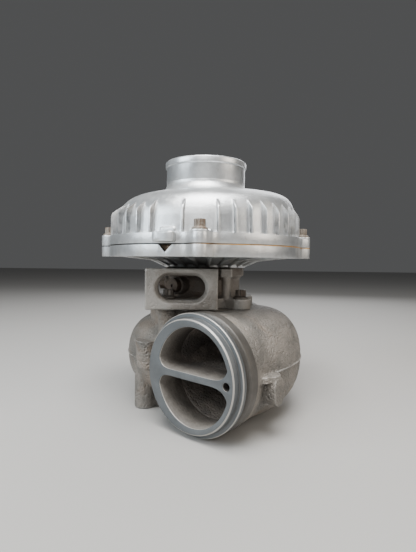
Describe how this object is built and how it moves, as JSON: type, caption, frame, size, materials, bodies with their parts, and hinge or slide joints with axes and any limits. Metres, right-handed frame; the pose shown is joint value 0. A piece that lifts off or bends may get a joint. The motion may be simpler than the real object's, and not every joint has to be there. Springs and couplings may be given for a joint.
{
  "type": "turbocharger",
  "caption": "Twin-entry exhaust turbocharger: cast scroll with clamp-flange inlet, oil-fed bearing housing, ribbed compressor cover with round hose inlet and one spinning rotor.",
  "frame": {"origin": "centre of the exhaust outlet on its face, where the rotor axis meets the plane the unit stands on", "axes": "+Z along the rotor axis out of the compressor inlet, +X toward the side of the compressor discharge, +Y along the discharge, -Y toward the window pad of the bearing housing"},
  "size_m": [0.2398, 0.2677, 0.2692],
  "materials": {
    "turbine_cast": "as-cast, lightly scaled by heat",
    "housing_cast": "as-cast, bead blasted",
    "silver_cast": "silver paint over cast aluminium",
    "backplate_cast": "as-cast with oily film underneath",
    "wheel_alloy": "machined",
    "nickel_alloy": "cast nickel alloy, heat stained",
    "shaft_steel": "ground",
    "bolt_steel": "phosphated, rusty",
    "bearing_bronze": "machined bronze",
    "ring_steel": "spring steel, satin",
    "shield_steel": "pressed sheet, heat tinted",
    "seal_rubber": "matt",
    "gasket": "orange sealing compound",
    "plug_steel": "dark brown, oily"
  },
  "bodies": {
    "core": {"turbine_housing": "turbine_cast", "heat_shield": "shield_steel", "turbine_seal_ring": "ring_steel", "bearing_housing": "housing_cast", "bearing_retaining_rings": "ring_steel", "turbine_flange_bolts": "bolt_steel", "oil_feed_plug": "plug_steel", "side_plug": "plug_steel", "thrust_bearing": "bearing_bronze", "thrust_bearing_pins": "ring_steel", "compressor_seal_ring": "ring_steel", "seal_plate": "wheel_alloy", "seal_plate_o_ring": "seal_rubber", "bearing_housing_o_ring": "seal_rubber", "seal_plate_snap_ring": "ring_steel", "backplate": "backplate_cast", "backplate_bolts": "bolt_steel", "cover_gasket": "gasket", "cover_bolts": "bolt_steel", "compressor_cover": "silver_cast"},
    "rotor": {"rotor_shaft": "shaft_steel", "turbine_wheel": "nickel_alloy", "thrust_collar": "shaft_steel", "oil_slinger": "shaft_steel", "compressor_wheel": "wheel_alloy", "wheel_locknut": "shaft_steel"},
    "floating_bearing_turbine": {"journal_bearing_turbine": "bearing_bronze"},
    "floating_bearing_compressor": {"journal_bearing_compressor": "bearing_bronze"}
  },
  "joints": [
    {"name": "rotor_spin", "type": "hinge", "parent": "core", "child": "rotor", "pos_m": [0, 0, 0.128], "axis": [0, 0, 1], "continuous": true},
    {"name": "turbine_bearing_spin", "type": "hinge", "parent": "core", "child": "floating_bearing_turbine", "pos_m": [0, 0, 0.1122], "axis": [0, 0, 1], "continuous": true},
    {"name": "compressor_bearing_spin", "type": "hinge", "parent": "core", "child": "floating_bearing_compressor", "pos_m": [0, 0, 0.1427], "axis": [0, 0, 1], "continuous": true}
  ]
}
